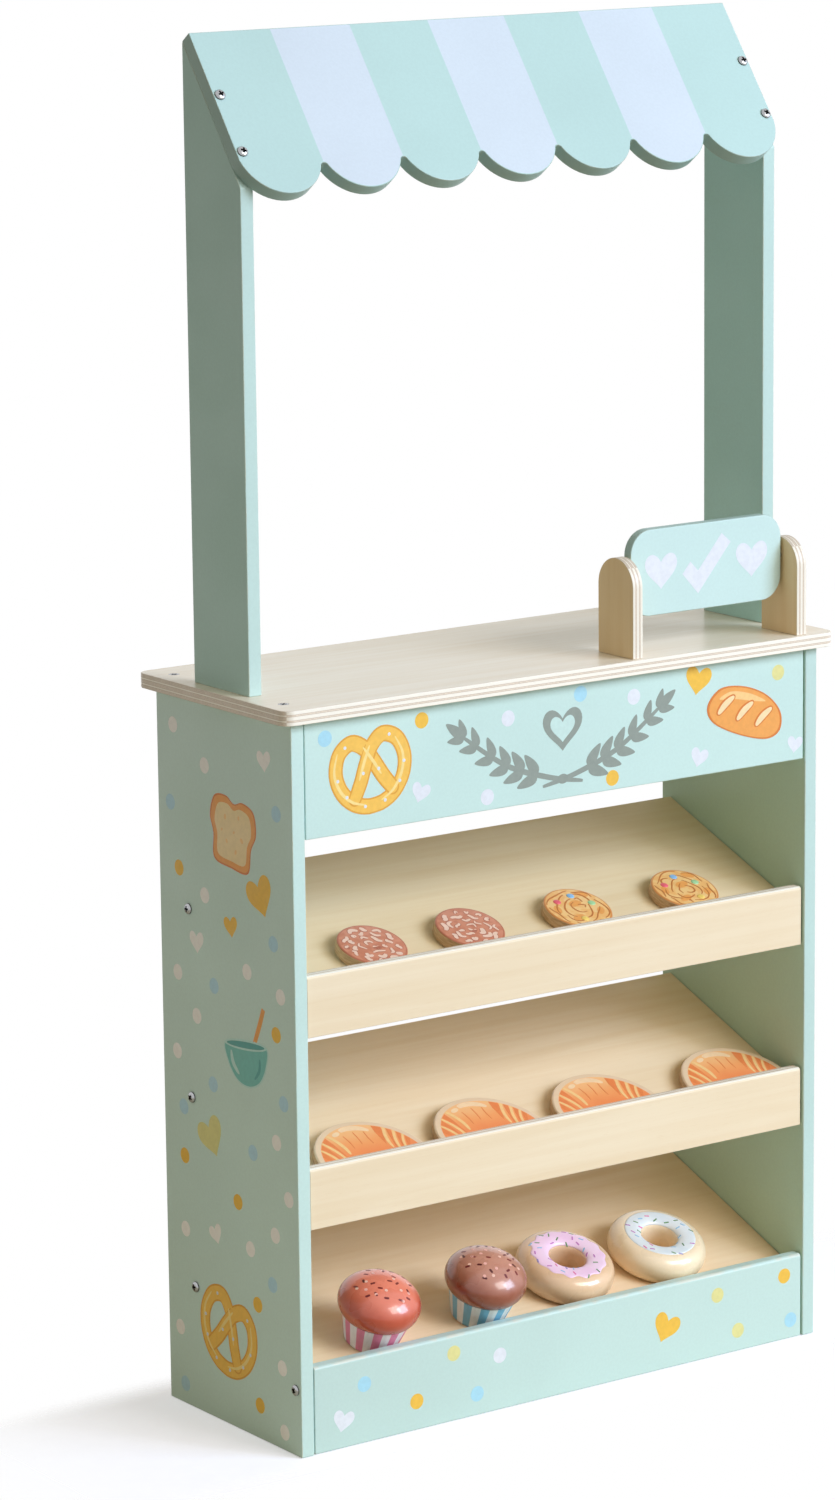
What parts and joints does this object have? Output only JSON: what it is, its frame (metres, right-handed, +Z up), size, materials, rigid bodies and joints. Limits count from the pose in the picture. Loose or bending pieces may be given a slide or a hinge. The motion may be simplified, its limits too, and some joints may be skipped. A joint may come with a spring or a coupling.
{
  "type": "toy market stall",
  "caption": "Wooden toy bakery stall: open cabinet with sloped display shelves, counter, posts with a scalloped striped awning, a flip-over sign and loose wooden pastries.",
  "frame": {"origin": "on the floor, at the middle of the stall's footprint", "axes": "+Z up, +X to the right as seen from the front, -Y towards the front where the shelf lips are"},
  "size_m": [0.549, 0.212, 1.1156],
  "materials": {
    "mint_paint": "satin paint on fibreboard with printed dots",
    "striped_paint": "satin paint in mint and white stripes",
    "sign_paint": "satin paint with a printed mark",
    "birch_plywood": "clear satin lacquer",
    "dowel_wood": "raw beech",
    "screw_steel": "bright plated",
    "cocoa_cookie_print": "printed face, lacquered sides",
    "golden_cookie_print": "printed face, lacquered sides",
    "croissant_print": "printed face, lacquered sides",
    "red_muffin_paint": "gloss paint",
    "brown_muffin_paint": "gloss paint",
    "pink_cup_print": "striped print",
    "blue_cup_print": "striped print",
    "caramel_donut_paint": "gloss paint",
    "cream_donut_paint": "gloss paint"
  },
  "bodies": {
    "stall": {"left_side_panel": "mint_paint", "right_side_panel": "mint_paint", "header_panel": "mint_paint", "kick_panel": "mint_paint", "left_post": "mint_paint", "right_post": "mint_paint", "countertop": "birch_plywood", "top_shelf": "birch_plywood", "middle_shelf": "birch_plywood", "bottom_shelf": "birch_plywood", "top_shelf_lip": "birch_plywood", "middle_shelf_lip": "birch_plywood", "sign_left_bracket": "birch_plywood", "sign_right_bracket": "birch_plywood", "awning_board": "striped_paint", "side_screws": "screw_steel", "counter_screws": "screw_steel", "awning_screws": "screw_steel", "bracket_screws": "screw_steel", "assembly_dowels": "dowel_wood", "post_dowels": "dowel_wood"},
    "sign": {"sign_board": "sign_paint", "sign_pivot_pins": "screw_steel"},
    "cookie_1": {"cookie_1": "cocoa_cookie_print"},
    "cookie_2": {"cookie_2": "cocoa_cookie_print"},
    "cookie_3": {"cookie_3": "golden_cookie_print"},
    "cookie_4": {"cookie_4": "golden_cookie_print"},
    "croissant_1": {"croissant_1": "croissant_print"},
    "croissant_2": {"croissant_2": "croissant_print"},
    "croissant_3": {"croissant_3": "croissant_print"},
    "croissant_4": {"croissant_4": "croissant_print"},
    "muffin_1": {"muffin_top_1": "red_muffin_paint", "muffin_cup_1": "pink_cup_print"},
    "muffin_2": {"muffin_top_2": "brown_muffin_paint", "muffin_cup_2": "blue_cup_print"},
    "donut_1": {"donut_1": "caramel_donut_paint"},
    "donut_2": {"donut_2": "cream_donut_paint"}
  },
  "joints": [
    {"name": "sign_flip", "type": "hinge", "parent": "stall", "child": "sign", "pos_m": [0.156, -0.079, 0.671], "axis": [1, 0, 0], "continuous": true},
    {"name": "cookie_1_slide", "type": "slide", "parent": "stall", "child": "cookie_1", "axis": [0, 0.9336, 0.3584], "range_m": [0, 0.2]},
    {"name": "cookie_2_slide", "type": "slide", "parent": "stall", "child": "cookie_2", "axis": [0, 0.9336, 0.3584], "range_m": [0, 0.2]},
    {"name": "cookie_3_slide", "type": "slide", "parent": "stall", "child": "cookie_3", "axis": [0, 0.9336, 0.3584], "range_m": [0, 0.2]},
    {"name": "cookie_4_slide", "type": "slide", "parent": "stall", "child": "cookie_4", "axis": [0, 0.9336, 0.3584], "range_m": [0, 0.2]},
    {"name": "croissant_1_slide", "type": "slide", "parent": "stall", "child": "croissant_1", "axis": [0, 0.9336, 0.3584], "range_m": [0, 0.2]},
    {"name": "croissant_2_slide", "type": "slide", "parent": "stall", "child": "croissant_2", "axis": [0, 0.9336, 0.3584], "range_m": [0, 0.2]},
    {"name": "croissant_3_slide", "type": "slide", "parent": "stall", "child": "croissant_3", "axis": [0, 0.9336, 0.3584], "range_m": [0, 0.2]},
    {"name": "croissant_4_slide", "type": "slide", "parent": "stall", "child": "croissant_4", "axis": [0, 0.9336, 0.3584], "range_m": [0, 0.2]},
    {"name": "muffin_1_slide", "type": "slide", "parent": "stall", "child": "muffin_1", "axis": [0, 0.9336, 0.3584], "range_m": [0, 0.2]},
    {"name": "muffin_2_slide", "type": "slide", "parent": "stall", "child": "muffin_2", "axis": [0, 0.9336, 0.3584], "range_m": [0, 0.2]},
    {"name": "donut_1_slide", "type": "slide", "parent": "stall", "child": "donut_1", "axis": [0, 0.9336, 0.3584], "range_m": [0, 0.2]},
    {"name": "donut_2_slide", "type": "slide", "parent": "stall", "child": "donut_2", "axis": [0, 0.9336, 0.3584], "range_m": [0, 0.2]}
  ]
}
